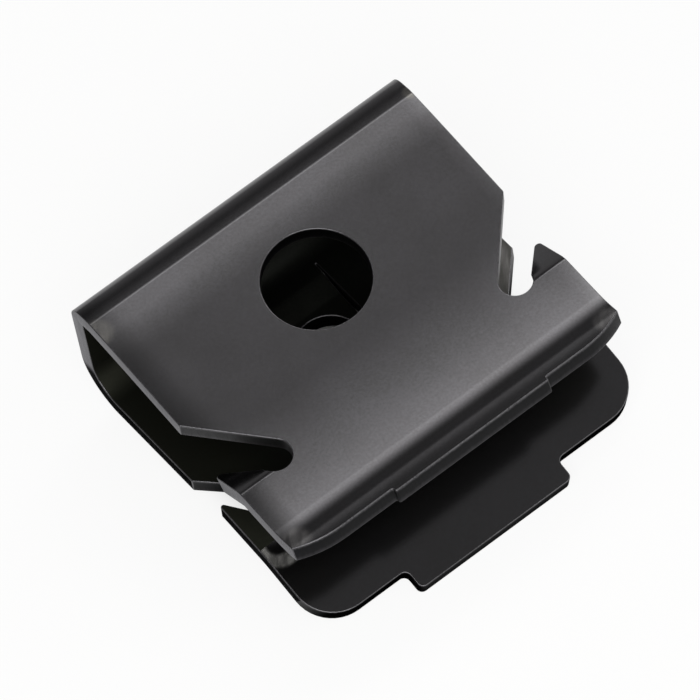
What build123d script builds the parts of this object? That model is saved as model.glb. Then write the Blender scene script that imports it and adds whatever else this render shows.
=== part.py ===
from build123d import *
import os
from math import acos, asin, atan2, cos, degrees, radians, sin, tan

# U-shaped clip nut, folded from one strip of spring steel. Millimetres and degrees.
# While it is made, +Y points to the fold, Y = 0 is the line of the notch corners and Z = 0 is
# midway between the legs. The finished clip is then laid as it comes to rest on a flat surface.

# Strip
width = 17.5
sheet = 0.8

# Fold and legs
leg_slope = 5.2            # each leg leans in towards the open end
gap_at_notch = 3.9         # clear height between the legs at the notch corners
fold_depth = 7.67          # notch corners to the outside of the web
upper_fold_radius = 0.5    # this and the other bend radii are to the middle of the sheet
lower_fold_radius = 1.7
crown_turn = 1.9           # the upper leg bows over a little before its fold
crown_line = 4.6           # notch corners to the middle of that bow
crown_radius = 48.0
press_back = 1.32          # outside of the web back to the crease where the fold has been pressed flatter
press_turn = 15.0
press_radius = 0.5
sweep_turn = 3.5           # and sweeps up a little before its lip
sweep_line = 4.0           # notch corners to the middle of that sweep
sweep_radius = 80.0

# Notches and barbs
notch_angle = 42.0         # leg side of the notch, from the length of the leg
notch_radius = 0.75
neck_line = 4.4            # notch corners to the line through the bottoms of the notch roots
upper_barb_angle = 33.0    # how far each barb is bent in
lower_barb_angle = 3.0
upper_barb = 2.55          # neck line to the point, along the sheet, before it is rounded
lower_barb = 2.62
upper_point_radius = 0.18
lower_point_radius = 0.12
barb_radius = 0.5

# Lips
lip_angle = 19.4           # each lip flares out from its leg, the sweep included
upper_lip_start = 7.0      # notch corners to the bend line
upper_lip = 1.5            # bend line to the end, beside the tab
upper_lip_radius = 3.6
upper_corner_start = 6.5   # where the rounding of the end begins, from the middle
upper_corner_radius = 4.5
upper_tab_depth = 0.23
upper_tab_shift = 0.3
upper_tab_edge = 0.1       # radius of the tab's corners
lower_lip_start = 4.75
lower_lip = 4.43
lower_lip_radius = 5.0
lower_corner_radius = 1.9
lower_tab_depth = 1.06
lower_tab_shift = -0.25
lower_tab_edge = 0.3
tab_width = 8.2

# Screw hole and thread impression
hole_back = 1.8            # notch corners to the screw axis, towards the fold
hole_radius = 2.4
root_radius = 1.55         # round bites in the prong tips
thread_pitch = 1.41
prong_width = 4.0
prong_root = 3.0           # screw axis to the bend of each prong
prong_shoulder = 1.9       # screw axis to where the prong arches over
prong_tip = 0.5            # screw axis to the end of each prong
prong_rise = 0.75          # mean rise of the two shoulders
prong_lean = 8.0           # slope left in each prong past its shoulder
prong_radius = 0.9
prong_relief = 0.5         # how far the slit beside each prong runs past its bend
prong_slit = 0.05          # width of that slit, which is sheared, not cut away

margin = 2.0               # how far cutting tools reach past the sheet

half_width = width / 2
half_gap = (gap_at_notch + sheet) / 2

# These places lie in the middle of the sheet, with local -Y towards the open end and local +Z
# out of the clip. The lower ones are made as upper ones and then mirrored.
leg = Pos(Z=half_gap) * Rot(X=leg_slope)
screw_axis = leg * Pos(Y=hole_back)
side_view = Plane.YZ.location
crowned_leg = leg * Pos(Y=crown_line) * Rot(X=-crown_turn) * Pos(Y=-crown_line)
swept_leg = leg * Pos(Y=-sweep_line) * Rot(X=-sweep_turn) * Pos(Y=sweep_line)
upper_place = swept_leg * Pos(Y=-upper_lip_start) * Rot(X=sweep_turn - lip_angle)
lower_place = leg * Pos(Y=-lower_lip_start) * Rot(X=-lip_angle)


def neck(bend_line, turn, bend_radius):
    # where the neck line lies on a leg that has begun to bend out to its lip
    bend_start = bend_line - bend_radius * tan(radians(turn / 2))
    turned = asin((neck_line - bend_start) / bend_radius)
    rise = bend_radius * (1 - cos(turned))
    return leg * Pos(Y=-neck_line, Z=rise) * Rot(X=-degrees(turned))


def slab(outline):
    # a flat outline made thick enough to cut or trim the sheet that it lies on
    return extrude(outline, amount=margin, both=True)


def strip(path, across):
    # a bent strip of sheet, from the line that its middle follows
    near = offset(path, amount=sheet / 2, side=Side.LEFT, closed=False)
    far = offset(path, amount=sheet / 2, side=Side.RIGHT, closed=False)
    ends = [Line(near @ 0, far @ 1), Line(near @ 1, far @ 0)]
    return side_view * extrude(make_face(near.edges() + far.edges() + ends), amount=across)


def folded_sheet():
    web = fold_depth - sheet / 2
    upper_end = (upper_place * Pos(Y=-upper_lip - upper_tab_depth)).position
    lower_end = (lower_place * Pos(Y=-lower_lip - lower_tab_depth)).position
    upper_bend = upper_place.position
    lower_bend = lower_place.position
    sweep = (leg * Pos(Y=-sweep_line)).position
    crown = (leg * Pos(Y=crown_line)).position
    press = (crowned_leg * Pos(Y=fold_depth - press_back)).position
    web_top = press.Z + (web - press.Y) * tan(radians(leg_slope - crown_turn - press_turn))
    middle = FilletPolyline(
        (upper_end.Y, upper_end.Z),
        (upper_bend.Y, upper_bend.Z),
        (sweep.Y, sweep.Z),
        (crown.Y, crown.Z),
        (press.Y, press.Z),
        (web, web_top),
        (web, -half_gap - web * tan(radians(leg_slope))),
        (lower_bend.Y, -lower_bend.Z),
        (lower_end.Y, -lower_end.Z),
        radius=[
            upper_lip_radius,
            sweep_radius,
            crown_radius,
            press_radius,
            upper_fold_radius,
            lower_fold_radius,
            lower_lip_radius,
        ],
    )
    return Pos(X=-half_width) * strip(middle, width)


# The outlines of a notch and its barb have Y = 0 on the neck line.
def root_centre():
    flank = radians(notch_angle)
    depth = neck_line - notch_radius
    return Vector(half_width + (notch_radius - depth * sin(flank)) / cos(flank), notch_radius)


def on_root(angle):
    turn = radians(angle)
    return root_centre() + Vector(cos(turn), sin(turn)) * notch_radius


def notch_outline():
    # the leg's flank, round the root and out along the neck line
    flank = radians(notch_angle)
    start = Vector(half_width + margin * sin(flank), neck_line + margin * cos(flank))
    outline = Line(start, on_root(180 - notch_angle))
    outline += ThreePointArc(outline @ 1, on_root(225 - notch_angle / 2), on_root(270))
    outline += Polyline(on_root(270), (start.X, 0), start)
    return make_face(outline)


def barb_outline(length, point_radius):
    # round the root, straight to the point and back along the side to well past the neck line
    tip = Vector(half_width, length)
    reach = tip - root_centre()
    leave = degrees(atan2(reach.Y, reach.X) - acos(notch_radius / reach.length))
    outline = ThreePointArc(on_root(270), on_root((leave - 90) / 2), on_root(leave))
    outline += Polyline(on_root(leave), tip, (half_width, -margin), (root_centre().X, -margin), on_root(270))
    blade = make_face(outline)
    return fillet(blade.vertices().sort_by(Axis.Y)[-1], point_radius)


def barb(angle, length, point_radius):
    # the sheet bends in at the neck line and runs back to a point
    inner = root_centre().X
    bend = JernArc((0, 0), tangent=(1, 0), radius=barb_radius, arc_size=-angle)
    path = bend + Line(bend @ 1, bend @ 1 + (bend % 1) * 2 * length)
    crease = barb_radius * tan(radians(angle / 2))
    flat = slab(barb_outline(length, point_radius))
    blade = Pos(Y=crease) * Rot(X=-angle) * Pos(Y=-crease) * flat
    return (Pos(X=inner) * strip(path, half_width - inner)) & blade


def both_sides(thing):
    return thing + mirror(thing, about=Plane.YZ)


def lip_waste(length, corner_start, corner_radius, tab_depth, tab_shift, tab_edge):
    # everything outside the rounded end of a lip and its tab
    reach = length + tab_depth + margin
    depth = corner_radius + margin
    whole_end = RectangleRounded(2 * (corner_start + corner_radius), 2 * depth, corner_radius)
    tab = Pos(X=tab_shift) * Rectangle(tab_width, 2 * (length + tab_depth))
    around = Rectangle(width + 2 * margin, 2 * (reach - length + min(corner_radius, length)))
    waste = Pos(Y=-reach) * around - Pos(Y=depth - length) * whole_end - tab
    edges = waste.vertices().filter_by(lambda v: abs(abs(v.X - tab_shift) - tab_width / 2) < 0.01)
    return fillet(edges, tab_edge)


def prong(rise):
    # flat behind its bend, up to the shoulder, then arched over towards the screw
    lean = (prong_shoulder - prong_tip) * tan(radians(prong_lean))
    path = FilletPolyline(
        (-prong_root - prong_relief, 0),
        (-prong_root, 0),
        (-prong_shoulder, rise),
        (-prong_tip, rise + lean),
        radius=prong_radius,
    )
    return Pos(X=-prong_width / 2) * strip(path, prong_width)


def impression():
    # the prongs stand half a pitch apart, so that together they follow one turn of the thread
    half_step = thread_pitch / 4
    prongs = prong(prong_rise + half_step) + Rot(Z=180) * prong(prong_rise - half_step)
    return prongs - Cylinder(root_radius, 4 * thread_pitch)


def window():
    across = prong_width + 2 * prong_slit
    along = 2 * (prong_root + prong_relief)
    return Rectangle(across, along)


def resting(clip):
    # tips onto the end of the lower lip and whichever point past the notches is then lowest
    lip_end = (lower_place * Pos(Y=-lower_lip - lower_tab_depth, Z=sheet / 2)).position
    others = clip.vertices().filter_by(lambda v: v.Y > 0)
    slopes = [degrees(atan2(-lip_end.Z - v.Z, v.Y - lip_end.Y)) for v in others]
    clip = Rot(X=max(slopes)) * clip
    box = clip.bounding_box()
    return Pos(-box.center().X, -box.center().Y, -box.min.Z) * clip


def upper_lip_waste():
    outline = lip_waste(
        upper_lip,
        upper_corner_start,
        upper_corner_radius,
        upper_tab_depth,
        upper_tab_shift,
        upper_tab_edge,
    )
    return upper_place * slab(outline)


def lower_lip_waste():
    outline = lip_waste(
        lower_lip,
        half_width - lower_corner_radius,
        lower_corner_radius,
        lower_tab_depth,
        lower_tab_shift,
        lower_tab_edge,
    )
    return lower_place * slab(outline)


def clip_nut():
    upper_neck = neck(sweep_line, sweep_turn, sweep_radius)
    lower_neck = neck(lower_lip_start, lip_angle, lower_lip_radius)
    turned_over = Plane.XY
    notches = both_sides(slab(notch_outline()))
    upper_barbs = both_sides(barb(upper_barb_angle, upper_barb, upper_point_radius))
    lower_barbs = both_sides(barb(lower_barb_angle, lower_barb, lower_point_radius))
    roots = both_sides(Pos(root_centre()) * Cylinder(notch_radius, 2 * margin))
    clip = folded_sheet()
    clip -= upper_neck * notches + upper_lip_waste()
    clip -= mirror(lower_neck * notches + lower_lip_waste(), about=turned_over)
    clip += upper_neck * upper_barbs + mirror(lower_neck * lower_barbs, about=turned_over)
    clip -= upper_neck * roots + mirror(lower_neck * roots, about=turned_over)
    clip -= screw_axis * Cylinder(hole_radius, 2 * margin)
    clip -= mirror(screw_axis * slab(window()), about=turned_over)
    clip += mirror(screw_axis * impression(), about=turned_over)
    return resting(clip)


clip = clip_nut()
os.makedirs("parts", exist_ok=True)
export_step(clip, "parts/clip.step")
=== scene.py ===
import bmesh
import bpy
from math import cos, pi, radians, sin, tan
from mathutils import Matrix, Vector
from mathutils.bvhtree import BVHTree
from mathutils.interpolate import poly_3d_calc
from mathutils.kdtree import KDTree


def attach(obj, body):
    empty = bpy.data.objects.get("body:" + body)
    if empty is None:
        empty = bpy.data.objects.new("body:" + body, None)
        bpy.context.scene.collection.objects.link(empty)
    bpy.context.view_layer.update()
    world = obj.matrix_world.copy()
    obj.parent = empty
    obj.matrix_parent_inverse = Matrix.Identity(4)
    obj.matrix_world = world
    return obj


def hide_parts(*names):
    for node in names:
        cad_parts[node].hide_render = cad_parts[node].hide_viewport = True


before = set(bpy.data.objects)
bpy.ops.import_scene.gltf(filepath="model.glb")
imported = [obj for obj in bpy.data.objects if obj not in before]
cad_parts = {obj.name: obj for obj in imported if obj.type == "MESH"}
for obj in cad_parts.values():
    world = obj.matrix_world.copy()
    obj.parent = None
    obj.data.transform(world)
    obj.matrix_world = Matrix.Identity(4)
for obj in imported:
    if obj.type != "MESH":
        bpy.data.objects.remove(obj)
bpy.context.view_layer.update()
print("frame loaded, nodes:", sorted(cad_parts))

mm = 0.001


def linearColour(hexColour):
    # sRGB hex to linear RGBA
    parts = [int(hexColour[i:i + 2], 16) / 255 for i in (1, 3, 5)]
    return [p / 12.92 if p <= 0.04045 else ((p + 0.055) / 1.055) ** 2.4 for p in parts] + [1.0]


def addNode(tree, kind, sockets=None, **settings):
    # one node with its settings; what comes from another node is linked, any other value is set
    node = tree.nodes.new(kind)
    for name, value in settings.items():
        setattr(node, name, value)
    for name, value in (sockets or {}).items():
        if isinstance(value, bpy.types.NodeSocket):
            tree.links.new(value, node.inputs[name])
        else:
            node.inputs[name].default_value = value
    return node


def setRamp(node, stops):
    # colour ramp stops, given as (place, linear colour)
    elements = node.color_ramp.elements
    elements.remove(elements[-1])
    for index, (place, colour) in enumerate(stops):
        stop = elements[0] if index == 0 else elements.new(place)
        stop.position = place
        stop.color = colour


def emptyMaterial(name):
    material = bpy.data.materials.new(name)
    material.use_nodes = True
    material.node_tree.nodes.clear()
    return material, material.node_tree


cameraSetup = {
    "azimuth": -26.3552,       # degrees, 0 looks along +Y
    "elevation": 56.2750,
    "roll": -13.5887,
    "aim": (-0.1797, 0.8571, 3.8910),    # mm
    "distance": 404.72,        # mm
    "lens": 489.01,            # mm
    "sensor": 36,              # mm
    "nearest": 0.01,           # m
    "farthest": 20,            # m
}


def makeCamera(setup):
    azimuth, elevation, roll = (radians(setup[name]) for name in ("azimuth", "elevation", "roll"))
    ahead = Vector((-sin(azimuth) * cos(elevation), cos(azimuth) * cos(elevation), -sin(elevation)))
    level = Vector((cos(azimuth), sin(azimuth), 0))
    over = level.cross(ahead)
    right = cos(roll) * level + sin(roll) * over
    up = cos(roll) * over - sin(roll) * level
    camera = bpy.data.objects.new("camera", bpy.data.cameras.new("camera"))
    bpy.context.scene.collection.objects.link(camera)
    turn = Matrix((right, up, -ahead)).transposed()
    place = (Vector(setup["aim"]) - ahead * setup["distance"]) * mm
    camera.matrix_world = Matrix.Translation(place) @ turn.to_4x4()
    camera.data.lens = setup["lens"]
    camera.data.sensor_width = setup["sensor"]
    camera.data.clip_start = setup["nearest"]
    camera.data.clip_end = setup["farthest"]
    bpy.context.scene.camera = camera


makeCamera(cameraSetup)
bpy.context.scene.view_settings.view_transform = "Standard"
print("camera set")

studio = {
    "floorSize": 3.0,          # m
    "floorPaper": "#f4f4f2",
    "whiteSeen": 0.88,         # how much of the paper the camera sees as plain white, the rest has shadow
    "shadeUnder": (4.5, 8.5),  # mm from the middle, over which that white comes in round the clip's dark
    "whiteMirrored": 0.8,      # how white the steel mirrors the paper, clear of the clip
    # the next is a painted shadow: the mirrored paper goes black where the clip stands
    "contactShade": (-0.4, 1.6),    # mm out from the clip, over which that mirrored white comes up from black
    "footprint": (8.75, 8.86),           # mm, half the clip's width and depth
    # the tent of soft light: degrees from straight up, less than 0 to the front and more to the back,
    # and the strength there
    "tent": [
        (-90, 0.60), (-60, 0.85), (-35, 0.75), (-22, 0.30), (-10, 0.19), (3, 0.17), (9, 0.21),
        (15.5, 0.385), (18.5, 0.66), (20.7, 1.11), (22.5, 2.65), (25, 2.45), (29, 2.00), (33, 1.55),
        (37, 0.98), (41, 0.51), (45, 0.20), (50, 0.09), (55, 0.12), (57.5, 0.20), (60, 0.30),
        (66, 0.30), (72, 0.32), (90, 0.40),
    ],
    # how it weakens to the left and grows to the right: the direction's x, and the share there
    "across": [(-1, 0.25), (-0.3, 0.25), (-0.04, 0.33), (0.06, 0.56), (0.2465, 1.0), (0.5, 1.8), (1, 1.2)],
    "keyPlace": (-160, -230, 260),       # mm
    "keySize": 420,            # mm
    "keyPower": 1.5,           # W
}


def mattWhitePaper(setup):
    # uncoated white paper: no gloss, and a soft shadow under the clip. The camera sees the rest of it
    # as nearly plain white, and the steel mirrors it, with a painted shadow: black where the clip stands on
    # it
    material, tree = emptyMaterial("matt_white_paper")
    ray = addNode(tree, "ShaderNodeLightPath").outputs
    place = addNode(tree, "ShaderNodeTexCoord").outputs["Object"]
    mirrored = addNode(tree, "ShaderNodeMath", {0: ray["Is Glossy Ray"], 1: ray["Is Transmission Ray"]},
                       operation="MAXIMUM").outputs[0]
    away = addNode(tree, "ShaderNodeVectorMath", {0: place}, operation="LENGTH").outputs["Value"]
    dark, clear = setup["shadeUnder"]
    seen = addNode(tree, "ShaderNodeMapRange", {
        "Value": away, "From Min": dark * mm, "From Max": clear * mm, "To Max": setup["whiteSeen"]},
        interpolation_type="SMOOTHSTEP").outputs["Result"]
    share = addNode(tree, "ShaderNodeMath", {0: ray["Is Camera Ray"], 1: seen, 2: mirrored},
                    operation="MULTIPLY_ADD").outputs[0]
    side = addNode(tree, "ShaderNodeVectorMath", {0: place}, operation="ABSOLUTE").outputs[0]
    edge = [size * mm for size in setup["footprint"]] + [0]
    beyond = addNode(tree, "ShaderNodeVectorMath", {0: side, 1: edge}, operation="SUBTRACT").outputs[0]
    beyond = addNode(tree, "ShaderNodeSeparateXYZ", {0: beyond}).outputs
    beyond = addNode(tree, "ShaderNodeMath", {0: beyond["X"], 1: beyond["Y"]},
                     operation="MAXIMUM").outputs[0]
    # the paper that the steel mirrors is painted black next to the clip: a painted shadow
    dark, clear = setup["contactShade"]
    level = addNode(tree, "ShaderNodeMapRange", {
        "Value": beyond, "From Min": dark * mm, "From Max": clear * mm, "To Max": setup["whiteMirrored"]},
        interpolation_type="SMOOTHSTEP").outputs["Result"]
    level = addNode(tree, "ShaderNodeMath", {0: level, 1: ray["Is Camera Ray"]},
                    operation="MAXIMUM").outputs[0]
    paper = addNode(tree, "ShaderNodeBsdfDiffuse", {"Color": linearColour(setup["floorPaper"])}).outputs[0]
    white = addNode(tree, "ShaderNodeEmission", {"Color": (1, 1, 1, 1), "Strength": level}).outputs[0]
    mixed = addNode(tree, "ShaderNodeMixShader", {0: share, 1: paper, 2: white}).outputs[0]
    addNode(tree, "ShaderNodeOutputMaterial", {"Surface": mixed})
    return material


def makeFloor(setup):
    half = setup["floorSize"] / 2
    corners = [(-half, -half, 0), (half, -half, 0), (half, half, 0), (-half, half, 0)]
    mesh = bpy.data.meshes.new("floor")
    mesh.from_pydata(corners, [], [(0, 1, 2, 3)])
    mesh.materials.append(mattWhitePaper(setup))
    floor = bpy.data.objects.new("floor", mesh)
    bpy.context.scene.collection.objects.link(floor)


def makeTent(setup):
    world = bpy.data.worlds.new("lightTent")
    bpy.context.scene.world = world
    world.use_nodes = True
    tree = world.node_tree
    tree.nodes.clear()
    toward = addNode(tree, "ShaderNodeTexCoord").outputs["Generated"]
    toward = addNode(tree, "ShaderNodeSeparateXYZ", {0: toward}).outputs
    lean = addNode(tree, "ShaderNodeMath", {0: toward["Y"], 1: toward["Z"]}, operation="ARCTAN2").outputs[0]
    lean = addNode(tree, "ShaderNodeMapRange", {
        "Value": lean, "From Min": -pi / 2, "From Max": pi / 2}).outputs["Result"]
    side = addNode(tree, "ShaderNodeMapRange", {
        "Value": toward["X"], "From Min": -1, "From Max": 1}).outputs["Result"]
    # each ramp holds shares of its top value
    top = max(strength for angle, strength in setup["tent"])
    overhead = addNode(tree, "ShaderNodeValToRGB", {"Fac": lean})
    setRamp(overhead, [((angle + 90) / 180, (strength / top,) * 3 + (1,))
                       for angle, strength in setup["tent"]])
    widest = max(share for x, share in setup["across"])
    across = addNode(tree, "ShaderNodeValToRGB", {"Fac": side})
    setRamp(across, [((x + 1) / 2, (share / widest,) * 3 + (1,)) for x, share in setup["across"]])
    strength = addNode(tree, "ShaderNodeMath", {0: across.outputs["Color"], 1: top * widest},
                       operation="MULTIPLY").outputs[0]
    cloth = addNode(tree, "ShaderNodeBackground", {
        "Color": overhead.outputs["Color"], "Strength": strength}).outputs[0]
    white = addNode(tree, "ShaderNodeBackground", {"Color": (1, 1, 1, 1), "Strength": 1.0}).outputs[0]
    ray = addNode(tree, "ShaderNodeLightPath").outputs
    mixed = addNode(tree, "ShaderNodeMixShader", {0: ray["Is Camera Ray"], 1: cloth, 2: white}).outputs[0]
    addNode(tree, "ShaderNodeOutputWorld", {"Surface": mixed})


def makeKeyLamp(setup):
    lamp = bpy.data.lights.new("keySoftbox", "AREA")
    lamp.shape = "SQUARE"
    lamp.size = setup["keySize"] * mm
    lamp.energy = setup["keyPower"]
    holder = bpy.data.objects.new("keySoftbox", lamp)
    bpy.context.scene.collection.objects.link(holder)
    holder.location = Vector(setup["keyPlace"]) * mm
    holder.rotation_euler = (-holder.location).to_track_quat("-Z", "Y").to_euler()


makeFloor(studio)
makeTent(studio)
makeKeyLamp(studio)
print("floor, light tent and softbox made")

clipFinish = {
    "halfWidth": 8.75,         # mm, where the strip was slit
    "edgeRadius": 0.045,       # mm, the rounding that tumbling leaves on every sheared edge
    "roundSteps": 3,           # faces across that rounding
    "sharpTurn": 35,           # degrees, a sharper edge than this is rounded
    "crystal": 0.06,           # mm, phosphate crystals; real ones are a fifth of this and wouldn't show
    "cloud": 3.5,              # mm, where the oil has dried thinner
    "crystalShare": 0.6,       # how much the crystals tell in the mottling, the clouds have the rest
    "mottleTint": (0.38, 0.62),          # from and to this noise the tint goes from dark to light
    "mottleShine": (0.35, 0.65),         # and the roughness and the bare share from low to high
    "grainStrength": 0.6,
    "shearStreak": 0.05,       # mm, the fine lines that the punch drags through the cut
    "streakSqueeze": 0.15,     # their width against their length
    "ragged": 0.25,            # how far they break the bands of a cut, as a share of its height
    "patchStreak": 0.16,         # mm, the lines along which a worn place, and a painted highlight, comes bright
    "patchLean": -34.8,          # degrees, how those lines run
    "patchStretch": 7,           # their length against their width
    "patchLines": (0.36, 0.62),  # from and to this noise they come up
    "patchLeast": 0.45,          # the share of the patch that is left between them
    "patchMiddle": 0.5,          # a patch is whole out to this share of its reach
    "patchCrystals": 0.16,       # the share of bare steel that a whole patch takes back
}

# the folded sheet, in millimetres and degrees, before it is laid down: y points to the fold, and is
# 0 at the notch corners. The bends' shading is worked out from it
clipFold = {
    "sheet": 0.8,
    "gap": 3.9,                # clear height between the legs at the notch corners
    "depth": 7.67,             # from the notch corners to the outside of the web
    "legSlope": 5.2,
    "crownLine": 4.6,          # each Line or Start is a bend's place along the leg from those corners
    "crownTurn": 1.9,
    "pressLine": 6.35,
    "pressTurn": 15.0,
    "sweepLine": 4.0,
    "sweepTurn": 3.5,
    "lipTurn": 19.4,
    "upperLipStart": 7.0,
    "upperLip": 1.73,
    "lowerLipStart": 4.75,
    "lowerLip": 5.49,
    "radii": (3.6, 80, 48, 0.5, 0.5, 1.7, 5.0),    # of the bends, from the upper lip to the lower one
    "restTilt": 2.5784,        # how the clip is laid down
    "restShift": (1.1475, 4.0981),
    "insideEnds": 4.75,        # from the notch corners, where the lower lip begins to be as outside
    # soft forms of a few hundredths of a millimetre, which are in the shading alone.
    # The punch rolls the upper lip's end over: how far from the end that begins to ease, is whole and
    # has faded, its turn, and the share of it that is left at the very end
    "dieRoll": {"eased": 0.25, "whole": 0.80, "faded": 1.04, "turn": 5.4, "least": 0.45},
    # the upper leg's sides are rolled down: each side's turn and how far in it reaches, on the part of
    # the leg up to this Y of the laid clip
    "sideRoll": [
        {"upTo": -3.3, "left": (9.5, 1.3), "right": (3.0, 0.5)},
        {"upTo": 9.0, "left": (6.5, 1.7), "right": (3.0, 0.6)},
    ],
    # the pressed crease comes before its line and eases out after it
    "pressEase": {"before": 0.21, "after": 0.37, "turn": 5.0},
    # the pressed band bulges towards the fold, measured from where the crease comes
    "pressBulge": {"rises": 0.35, "risen": 0.80, "falls": 0.86, "fallen": 1.06, "turn": 5.0},
    # the lower lip turns further, from this much before its bend's corner to as much past it
    "lowerLipBow": {"reach": 0.9, "turn": 3.3},
}

# the face of the strip, blackened and with oil on it: it mirrors softly and dark, with a fine grain
blackOiled = {
    "name": "phosphatedOiledSpringSteel",
    "dark": "#575657",         # the tint of the blackened steel, looked at straight on
    "light": "#5f5e60",
    "bare": (0.97, 1.0),       # how much of the steel shines through between the crystals
    "roughness": (0.150, 0.175),
    "grainDepth": 0.0010,      # mm
    # where the black is painted lighter in fine lines, in mm: the middle, the radius of a ring round it,
    # and the reach. The lower lip's corner is a painted highlight; the others are worn places
    "wearAndSheen": [
        # the lower lip's corner: a painted highlight, the soft reflection that wraps round its curved edge
        {"middle": (-7.95, -3.75, 2.27), "ring": 0.82, "reach": 0.40, "colour": "#e8e6e2"},
        # both ends of the upper lip
        {"middle": (-8.3, -6.5, 6.2), "ring": 0, "reach": 0.8, "colour": "#8c8a8a"},
        {"middle": (8.2, -6.8, 6.25), "ring": 0, "reach": 0.8, "colour": "#8c8a8a"},
        # both corners at the fold
        {"middle": (-8.65, 6.6, 7.6), "ring": 0, "reach": 0.8, "colour": "#7b7976"},
        {"middle": (8.7, 7.3, 7.63), "ring": 0, "reach": 0.45, "colour": "#696764"},
    ],
}

# the same coat inside the fold: matt, and nearly black. The near-black is partly the coat, which nothing
# has worn down to the crystals here, and partly painted shade of the closed fold
blackInside = {
    "name": "mattPhosphateInsideFoldPaintedShade",
    "dark": "#1b1c1a",
    "light": "#222320",
    "bare": (0.85, 0.95),
    "roughness": (0.42, 0.55),
    "grainDepth": 0.0020,
    "slantTint": "#8c8c8c",    # the coat takes back what bare steel would mirror at a slant
    # by the right notch: scuffs on the lower leg's inside, and painted light that comes in through the notch
    "wearAndSheen": [{"middle": (7.85, 0.50, 2.19), "ring": 0, "reach": 2.0, "colour": "#7c7a78"}],
    "mouthLit": (4.5, 7.5),       # mm from the middle, over which light from the open sides is painted on
    "mouthLitTint": "#30312a",
}

# a punched cut: streaks through its height, black where it broke, and light where the die rolled it over:
# those light bands are painted highlights, the glint of the rounded rims
blackPunched = {
    "name": "punchedPhosphatedEdge",
    # from the bottom of the cut to its top
    "through": [
        (0.0, "#3b3a3c"), (0.16, "#313032"), (0.30, "#1f1f20"), (0.82, "#1b1b1c"), (0.94, "#4c4b4d"),
    ],
    "bare": (0.90, 0.96),
    "roughness": (0.26, 0.40),
    "grainDepth": 0.006,
}

# the strip's own slit sides: an even, lighter cut
blackSlit = {
    "name": "slitPhosphatedEdge",
    "through": [(0.0, "#727173"), (0.35, "#6e6d6f"), (0.6, "#626163"), (1.0, "#5c5b5d")],
    # on the lower leg, near the floor, the slit face is painted dark and mirrors less: painted shade of the
    # floor close under it, which leaves a thin light band at one edge of the cut
    "throughShadedLow": [(0.0, "#6a696b"), (0.14, "#6a696b"), (0.28, "#232324"), (1.0, "#1c1c1d")],
    "shadedLowEnds": (2.5, 3.3),     # mm up, between the lower leg and the fold's back
    "bare": (0.90, 1.0),
    "roughness": (0.24, 0.36),
    "grainDepth": 0.004,
    "slantTint": "#e2e2e4",
    "slantTintShadedLow": "#6e6e6e",
}

# tumbled corners: the black is worn thin, so that they catch the light as fine lines
blackWorn = {
    "name": "tumbledSteelEdge",
    "dark": "#504f51",
    "light": "#6b6a6c",
    "bare": (0.85, 1.0),
    "roughness": (0.24, 0.34),
    "grainDepth": 0.0015,
}

clipLooks = (blackOiled, blackInside, blackWorn, blackPunched, blackSlit)
outside, inside, worn, punched, slit = range(len(clipLooks))


def addWearAndSheen(tree, patch, finish, spot, colour, bare):
    # a place, or a ring round it, painted lighter in fine lines: where rubbing has broken the black,
    # down to the matt grey crystals, and also the painted highlights and painted light that the looks list
    middle = [value * mm for value in patch["middle"]]
    away = addNode(tree, "ShaderNodeVectorMath", {0: spot, 1: middle}, operation="DISTANCE").outputs["Value"]
    off = addNode(tree, "ShaderNodeMath", {0: away, 1: patch["ring"] * mm}, operation="SUBTRACT").outputs[0]
    off = addNode(tree, "ShaderNodeMath", {0: off}, operation="ABSOLUTE").outputs[0]
    whole = patch["reach"] * finish["patchMiddle"]
    share = addNode(tree, "ShaderNodeMapRange", {
        "Value": off, "From Min": patch["reach"] * mm, "From Max": whole * mm},
        interpolation_type="SMOOTHSTEP").outputs["Result"]
    along = addNode(tree, "ShaderNodeMapping", {
        "Vector": spot, "Rotation": (0, 0, radians(finish["patchLean"])),
        "Scale": (1, finish["patchStretch"], 1)}, vector_type="TEXTURE").outputs[0]
    lines = addNode(tree, "ShaderNodeTexNoise", {
        "Vector": along, "Scale": 1 / (finish["patchStreak"] * 2 * mm), "Detail": 3}).outputs["Fac"]
    faint, full = finish["patchLines"]
    lines = addNode(tree, "ShaderNodeMapRange", {
        "Value": lines, "From Min": faint, "From Max": full, "To Min": finish["patchLeast"]}).outputs["Result"]
    share = addNode(tree, "ShaderNodeMath", {0: share, 1: lines}, operation="MULTIPLY").outputs[0]
    colour = addNode(tree, "ShaderNodeMix", {0: share, 6: colour, 7: linearColour(patch["colour"])},
                     data_type="RGBA").outputs[2]
    bare = addNode(tree, "ShaderNodeMath", {0: share, 1: -finish["patchCrystals"], 2: bare},
                   operation="MULTIPLY_ADD").outputs[0]
    return colour, bare


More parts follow.
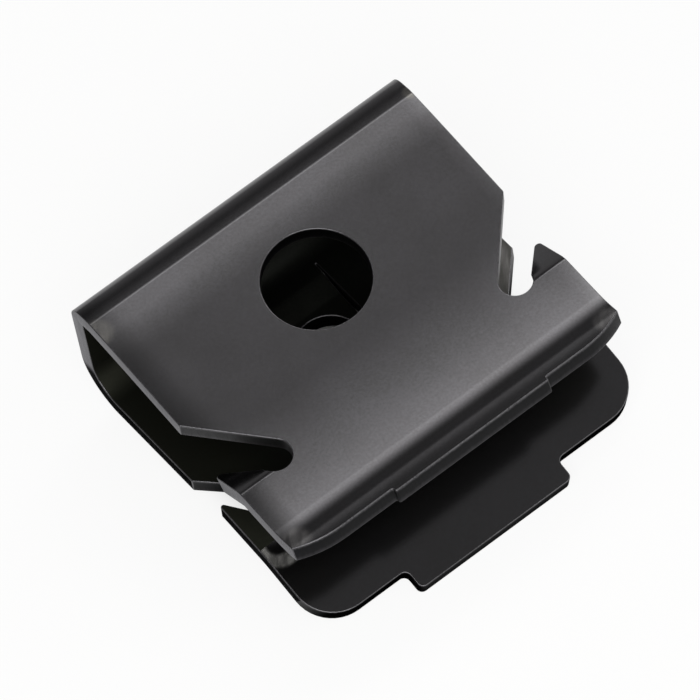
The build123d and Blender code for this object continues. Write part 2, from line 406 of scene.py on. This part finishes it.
def blackenedSteel(look, finish):
    # zinc phosphated spring steel, dipped in black and then in oil: dark steel that shines softly between
    # fine matt crystals, with faint clouds where the oil lies thinner. A cut has streaks, and bands
    # through its height. The painted shade, painted light and painted highlights that a look lists
    # are added here as well
    material, tree = emptyMaterial(look["name"])
    place = addNode(tree, "ShaderNodeTexCoord").outputs["Object"]
    cut = "through" in look
    spot = place
    if cut:
        # squeezed along Z, so that the streaks run through the height
        spot = addNode(tree, "ShaderNodeMapping", {
            "Vector": place, "Scale": (1, 1, finish["streakSqueeze"])}).outputs[0]
    grain = finish["shearStreak"] if cut else finish["crystal"]
    crystals = addNode(tree, "ShaderNodeTexNoise", {
        "Vector": spot, "Scale": 1 / (grain * 2 * mm), "Detail": 3, "Roughness": 0.6}).outputs["Fac"]
    clouds = addNode(tree, "ShaderNodeTexNoise", {
        "Vector": place, "Scale": 1 / (finish["cloud"] * mm), "Detail": 4, "Roughness": 0.55}).outputs["Fac"]
    mottle = addNode(tree, "ShaderNodeMix", {0: finish["crystalShare"], 2: clouds, 3: crystals},
                     data_type="FLOAT").outputs[0]
    if cut:
        height = addNode(tree, "ShaderNodeAttribute", attribute_name="cutHeight").outputs["Fac"]
        ragged = addNode(tree, "ShaderNodeMath", {
            0: crystals, 1: finish["ragged"], 2: -finish["ragged"] / 2}, operation="MULTIPLY_ADD").outputs[0]
        tone = addNode(tree, "ShaderNodeMath", {0: height, 1: ragged}, operation="ADD").outputs[0]
        stops = look["through"]
    else:
        tone = mottle
        stops = zip(finish["mottleTint"], (look["dark"], look["light"]))
    tints = addNode(tree, "ShaderNodeValToRGB", {"Fac": tone})
    setRamp(tints, [(at, linearColour(tint)) for at, tint in stops])
    colour = tints.outputs["Color"]
    skin = {"Specular Tint": linearColour(look.get("slantTint", "#ffffff"))}
    # the lower leg's slit face is painted dark near the floor: painted shade
    if "throughShadedLow" in look:
        tints = addNode(tree, "ShaderNodeValToRGB", {"Fac": tone})
        setRamp(tints, [(at, linearColour(tint)) for at, tint in look["throughShadedLow"]])
        low, high = look["shadedLowEnds"]
        up = addNode(tree, "ShaderNodeSeparateXYZ", {0: place}).outputs["Z"]
        up = addNode(tree, "ShaderNodeMapRange", {
            "Value": up, "From Min": low * mm, "From Max": high * mm},
            interpolation_type="SMOOTHSTEP").outputs["Result"]
        colour = addNode(tree, "ShaderNodeMix", {0: up, 6: tints.outputs["Color"], 7: colour},
                         data_type="RGBA").outputs[2]
        skin["Specular Tint"] = addNode(tree, "ShaderNodeMix", {
            0: up, 6: linearColour(look["slantTintShadedLow"]), 7: skin["Specular Tint"]},
            data_type="RGBA").outputs[2]
    # the inside is painted lighter towards its open sides: painted light
    if "mouthLit" in look:
        plainTo, litFrom = look["mouthLit"]
        out = addNode(tree, "ShaderNodeSeparateXYZ", {0: place}).outputs["X"]
        out = addNode(tree, "ShaderNodeMath", {0: out}, operation="ABSOLUTE").outputs[0]
        out = addNode(tree, "ShaderNodeMapRange", {
            "Value": out, "From Min": plainTo * mm, "From Max": litFrom * mm},
            interpolation_type="SMOOTHSTEP").outputs["Result"]
        colour = addNode(tree, "ShaderNodeMix", {0: out, 6: colour, 7: linearColour(look["mouthLitTint"])},
                         data_type="RGBA").outputs[2]
    dull, clear = finish["mottleShine"]
    for name, (least, most) in (("Roughness", look["roughness"]), ("Metallic", look["bare"])):
        skin[name] = addNode(tree, "ShaderNodeMapRange", {
            "Value": mottle, "From Min": dull, "From Max": clear,
            "To Min": least, "To Max": most}).outputs["Result"]
    # patches of wear, and painted highlights and painted light, in fine lines
    for patch in look.get("wearAndSheen", []):
        colour, skin["Metallic"] = addWearAndSheen(tree, patch, finish, place, colour, skin["Metallic"])
    skin["Base Color"] = colour
    skin["Normal"] = addNode(tree, "ShaderNodeBump", {
        "Strength": finish["grainStrength"], "Distance": look["grainDepth"] * mm,
        "Height": crystals}).outputs["Normal"]
    shader = addNode(tree, "ShaderNodeBsdfPrincipled", skin).outputs[0]
    addNode(tree, "ShaderNodeOutputMaterial", {"Surface": shader})
    return material


# how finely the clip's mesh and its shading are worked out, in mm unless it says otherwise
clipMesh = {
    "seamGap": 0.001,          # points that are nearer than this are one
    "flatTurn": 0.02,          # degrees between faces that make one flat
    "sliver": 0.0001,          # a cut that passes a point nearer than this goes through it
    "ruling": 0.5,             # across the width, between the lines that hold the shading true
    "slitNear": 0.01,          # how near to the side a face of the slit edge lies
    "sheetSlack": 0.08,        # how far a face of the sheet may differ from one thickness
    "flatStep": 0.05,          # between places on the straight parts of the fold
    "bendStep": 0.02,          # and in its bends
    "bendTurn": 0.1,           # degrees, the most that a bend turns between two places
    "creaseGap": 0.001,        # from the pressed crease to the places on either side of it
    "creaseRuled": 0.5,        # how far to each side of it the faces are cut finely
    "rollRuled": 0.1,          # and how far past the rolled end of the upper lip
    "skinSlack": 0.015,        # how far a point on the sheet may lie off its face
    "alike": 0.9,              # least cosine between that face's normal and the fold's
    "upperFacing": 0.3,        # how much of the fold's normal points up on the upper leg
    "cutReach": 0.6,           # thicknesses from the middle that still belong to the folded sheet
    "prongHeight": 0.6,        # the height that a cut takes where a barb or a prong has left the sheet
    "solidGap": 0.002,         # how near to the solid a point takes the solid's own normal
}


def markFaces(mesh, finish, fold, fine, guide):
    # a face of the sheet has its other side one thickness behind it; any other face is a cut
    middle, foldFacing = guide
    corners = [tuple(v.co) for v in mesh.vertices]
    tree = BVHTree.FromPolygons(corners, [tuple(p.vertices) for p in mesh.polygons])
    counts = [0] * len(clipLooks)
    for face in mesh.polygons:
        inward = -face.normal
        depth = tree.ray_cast(face.center + inward * (fine["seamGap"] * mm), inward)[3]
        if abs(face.center.x) / mm > finish["halfWidth"] - fine["slitNear"]:
            face.material_index = slit
        elif depth is None or abs(depth / mm - fold["sheet"]) > fine["sheetSlack"]:
            face.material_index = punched
        else:
            index = middle.find(Vector((0, face.center.y, face.center.z)) / mm)[1]
            # the lower lip lies open, the underside of the upper one doesn't
            closed = face.center.y / mm > fold["restShift"][0] - fold["insideEnds"] or foldFacing[index].z > 0
            facesIn = face.normal.dot(foldFacing[index]) < 0
            face.material_index = inside if closed and facesIn else outside
        counts[face.material_index] += 1
    print("faces outside, inside, worn, punched, slit:", counts)


def ruleMesh(mesh, finish, fine, rulings):
    # cuts the faces along lines across the width and along it, so that every long face has points
    # enough to carry the sheet's true normals
    shape = bmesh.new()
    shape.from_mesh(mesh)
    steps = int(finish["halfWidth"] / fine["ruling"])
    planes = [(Vector((i * fine["ruling"] * mm, 0, 0)), Vector((1, 0, 0))) for i in range(-steps, steps + 1)]
    for place, way in planes + rulings:
        parts = shape.verts[:] + shape.edges[:] + shape.faces[:]
        bmesh.ops.bisect_plane(shape, geom=parts, plane_co=place, plane_no=way, dist=fine["sliver"] * mm)
    shape.to_mesh(mesh)
    shape.free()


def tumbledCopy(clip, finish, fold, fine, guide):
    # the clip's own mesh, with its seams joined, its flats made whole and its sheared edges rounded
    rough = clip.copy()
    rough.data = clip.data.copy()
    rough.data.materials.clear()
    for look in clipLooks:
        rough.data.materials.append(blackenedSteel(look, finish))
    markFaces(rough.data, finish, fold, fine, guide)
    bpy.context.scene.collection.objects.link(rough)
    seams = rough.modifiers.new("joinSeams", "WELD")
    seams.merge_threshold = fine["seamGap"] * mm
    flats = rough.modifiers.new("joinFlats", "DECIMATE")
    flats.decimate_type = "DISSOLVE"
    flats.angle_limit = radians(fine["flatTurn"])
    flats.delimit = {"MATERIAL"}
    edges = rough.modifiers.new("tumbledEdges", "BEVEL")
    edges.width = finish["edgeRadius"] * mm
    edges.segments = finish["roundSteps"]
    edges.material = worn
    edges.limit_method = "ANGLE"
    edges.angle_limit = radians(finish["sharpTurn"])
    edges.use_clamp_overlap = False
    edges.loop_slide = False
    bpy.context.view_layer.update()
    graph = bpy.context.evaluated_depsgraph_get()
    mesh = bpy.data.meshes.new_from_object(rough.evaluated_get(graph), depsgraph=graph)
    bpy.data.objects.remove(rough)
    return mesh


def turned(length, degrees):
    return Vector((cos(radians(degrees)), sin(radians(degrees)))) * length


def easeBetween(begin, end, value):
    # 0 at begin, 1 at end, smooth between
    share = min(1, max(0, (value - begin) / (end - begin)))
    return share * share * (3 - 2 * share)


def foldLine(fold):
    # the corners that the middle of the sheet would have without its bends, from the end of the
    # upper lip round the fold to the end of the lower lip
    half = fold["gap"] / 2 + fold["sheet"] / 2
    legTop = Vector((0, half))
    slope = fold["legSlope"]
    swept = slope - fold["sweepTurn"]
    lip = slope - fold["lipTurn"]
    crowned = slope - fold["crownTurn"]
    sweep = legTop - turned(fold["sweepLine"], slope)
    crown = legTop + turned(fold["crownLine"], slope)
    upperBend = sweep - turned(fold["upperLipStart"] - fold["sweepLine"], swept)
    upperEnd = upperBend - turned(fold["upperLip"], lip)
    lowerBend = legTop - turned(fold["lowerLipStart"], slope)
    lowerEnd = lowerBend - turned(fold["lowerLip"], lip)
    press = crown + turned(fold["pressLine"] - fold["crownLine"], crowned)
    web = fold["depth"] - fold["sheet"] / 2
    webTop = Vector((web, press.y + (web - press.x) * tan(radians(crowned - fold["pressTurn"]))))
    webFoot = Vector((web, -half - web * tan(radians(slope))))
    # the lower leg and its lip are laid out as the upper ones are, and turned over
    return [upperEnd, upperBend, sweep, crown, press, webTop, webFoot,
            Vector((lowerBend.x, -lowerBend.y)), Vector((lowerEnd.x, -lowerEnd.y))]


def straightPlaces(begin, end, way, step):
    steps = max(2, int((end - begin).length / step))
    return [(begin.lerp(end, i / steps), way) for i in range(steps)]


def walkFold(fold, fine):
    # closely set places along the middle of the folded sheet, each with the way that it runs there
    corners = foldLine(fold)
    places = []
    begin = corners[0]
    for before, corner, after, radius in zip(corners, corners[1:], corners[2:], fold["radii"]):
        way = (corner - before).normalized()
        turn = way.angle_signed((after - corner).normalized())
        start = corner - way * (radius * abs(tan(turn / 2)))
        places += straightPlaces(begin, start, way, fine["flatStep"])
        side = 1 if turn < 0 else -1    # angle_signed counts clockwise turns as above zero
        centre = start + Vector((-way.y, way.x)) * radius * side
        turn = abs(turn)
        steps = max(2, int(turn / radians(fine["bendTurn"])), int(turn * radius / fine["bendStep"]))
        for i in range(steps + 1):
            swing = Matrix.Rotation(turn * side * i / steps, 2)
            places.append((centre + swing @ (start - centre), swing @ way))
        begin = places[-1][0]
    way = (corners[-1] - begin).normalized()
    places += straightPlaces(begin, corners[-1], way, fine["flatStep"]) + [(corners[-1], way)]
    # the crease turns the light at once, so two places stand close on either side of it
    crease = fold["pressLine"] - fold["pressEase"]["before"]
    at = next(i for i, (place, way) in enumerate(places) if place.x > crease)
    before, way = places[at - 1]
    places[at:at] = [(before + way * ((crease + gap - before.x) / way.x), way)
                     for gap in (-fine["creaseGap"], fine["creaseGap"])]
    return places


def softTurn(fold, place, lipEnd, lipBend):
    # how far the soft forms turn the shading here, in degrees
    if place.y < 0:
        bow = fold["lowerLipBow"]
        return bow["turn"] * easeBetween(lipBend.x + bow["reach"], lipBend.x - bow["reach"], place.x)
    roll = fold["dieRoll"]
    far = (place - lipEnd).length
    kept = roll["least"] + (1 - roll["least"]) * easeBetween(roll["eased"], roll["whole"], far)
    turn = roll["turn"] * kept * easeBetween(roll["faded"], roll["whole"], far)
    press = fold["pressEase"]
    reach = press["before"] + press["after"]
    past = place.x - fold["pressLine"] + press["before"]
    if 0 < past < reach:
        turn += press["turn"] * (1 - past / reach) ** 2
    bulge = fold["pressBulge"]
    rise = easeBetween(bulge["rises"], bulge["risen"], past)
    fall = easeBetween(bulge["fallen"], bulge["falls"], past)
    return turn - bulge["turn"] * rise * fall


def foldNormals(fold, fine):
    # the places along the folded sheet as it lies, the sheet's true normal at each, and the planes
    # that rule the pressed crease and the rolled end of the upper lip
    places = walkFold(fold, fine)
    lipEnd, lipBend = foldLine(fold)[0], foldLine(fold)[-2]
    press = fold["pressEase"]
    pressed = turned(1, fold["legSlope"] - fold["crownTurn"] - fold["pressTurn"])
    rolled = fold["dieRoll"]["faded"] + fine["rollRuled"]
    lay = Matrix.Rotation(radians(fold["restTilt"]), 2)
    middle = KDTree(len(places))
    foldFacing, rulings = [], []
    for index, (place, way) in enumerate(places):
        laid = lay @ place + Vector(fold["restShift"])
        middle.insert((0, laid.x, laid.y), index)
        past = place.x - fold["pressLine"] + press["before"]
        upper = place.y > 0
        if upper and 0 < past < press["before"] + press["after"]:
            way = pressed
        turn = radians(softTurn(fold, place, lipEnd, lipBend))
        facing = Matrix.Rotation(turn, 2) @ lay @ Vector((-way.y, way.x))
        foldFacing.append(Vector((0, facing.x, facing.y)))
        # every second place is enough, but for the two at the crease
        sharp = upper and abs(past) < fine["creaseGap"] * 1.5
        near = upper and abs(place.x - fold["pressLine"]) < fine["creaseRuled"]
        near = near or (place - lipEnd).length < rolled
        if sharp or near and index % 2 == 0:
            along = lay @ way
            rulings.append((Vector((0, laid.x, laid.y)) * mm, Vector((0, along.x, along.y))))
    middle.balance()
    return (middle, foldFacing), rulings


def sideLean(finish, fold, spot):
    # how far the rolled sides turn the upper leg's shading outwards, in radians, left below zero
    part = next((part for part in fold["sideRoll"] if spot.y / mm < part["upTo"]), fold["sideRoll"][-1])
    turn, reach = part["left" if spot.x < 0 else "right"]
    inward = finish["halfWidth"] - abs(spot.x) / mm
    return radians(turn) * (1 - easeBetween(0, reach, inward)) * (-1 if spot.x < 0 else 1)


def smoothLikeSheet(mesh, sheet, finish, fold, fine, guide):
    # a point on the folded sheet takes the fold's true normal, one on a cut face or a prong takes
    # the solid's, and the points between, on a rounded edge, the mean of the faces round them.
    # cutHeight tells how high a point lies in the thickness, 0 to 1; in the web, how far inside
    middle, foldFacing = guide
    corners = [v.co.copy() for v in sheet.vertices]
    solid = BVHTree.FromPolygons(corners, [tuple(p.vertices) for p in sheet.polygons])
    solidNormals = [Vector(loop.vector) for loop in sheet.corner_normals]
    mesh.attributes.remove(mesh.attributes["custom_normal"])
    mesh.shade_smooth()
    heights = mesh.attributes.new("cutHeight", "FLOAT", "POINT").data
    sides = [[] for vertex in mesh.vertices]
    for face in mesh.polygons:
        if face.material_index in (outside, inside):
            for index in face.vertices:
                sides[index].append(face.normal.copy())
    chosen = []
    counts = [0, 0, 0]
    for vertex in mesh.vertices:
        flat = Vector((0, vertex.co.y, vertex.co.z)) / mm
        place, index, away = middle.find(flat)
        facing = foldFacing[index]
        upper = facing.z > fine["upperFacing"]
        through = (flat - place).dot(facing) / fold["sheet"]
        height = 0.5 + (through if upper else -through)
        folded = away < fold["sheet"] * fine["cutReach"]
        heights[vertex.index].value = height if folded else fine["prongHeight"]
        normal = facing if through > 0 else -facing
        onSkin = abs(away - fold["sheet"] / 2) < fine["skinSlack"]
        if onSkin and any(side.dot(normal) > fine["alike"] for side in sides[vertex.index]):
            if through > 0 and upper:
                lean = sideLean(finish, fold, vertex.co)
                normal = normal * cos(lean) + Vector((sin(lean), 0, 0))
            chosen.append(normal)
            counts[0] += 1
            continue
        place, facing, index, gap = solid.find_nearest(vertex.co)
        if gap < fine["solidGap"] * mm:
            face = sheet.polygons[index]
            shares = poly_3d_calc([corners[v] for v in face.vertices], place)
            parts = [solidNormals[loop] * share for loop, share in zip(face.loop_indices, shares)]
            chosen.append(sum(parts, Vector()).normalized())
            counts[1] += 1
        else:
            chosen.append(vertex.normal.copy())
            counts[2] += 1
    # kept as plain vectors, since packed ones lose turns of less than a degree
    facings = mesh.attributes.new("custom_normal", "FLOAT_VECTOR", "POINT").data
    for facing, normal in zip(facings, chosen):
        facing.vector = normal
    print("points on the fold, on cut faces, on rounded edges:", counts)


def dressClip(finish, fold, fine):
    clip = bpy.data.objects["clip"]
    guide, rulings = foldNormals(fold, fine)
    mesh = tumbledCopy(clip, finish, fold, fine, guide)
    ruleMesh(mesh, finish, fine, rulings)
    smoothLikeSheet(mesh, clip.data, finish, fold, fine, guide)
    body = bpy.data.objects.new("foldedSpringSteel", mesh)
    bpy.context.scene.collection.objects.link(body)
    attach(body, "root")
    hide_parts("clip")
    print("clip faces:", len(mesh.polygons))


dressClip(clipFinish, clipFold, clipMesh)
print("clip dressed")
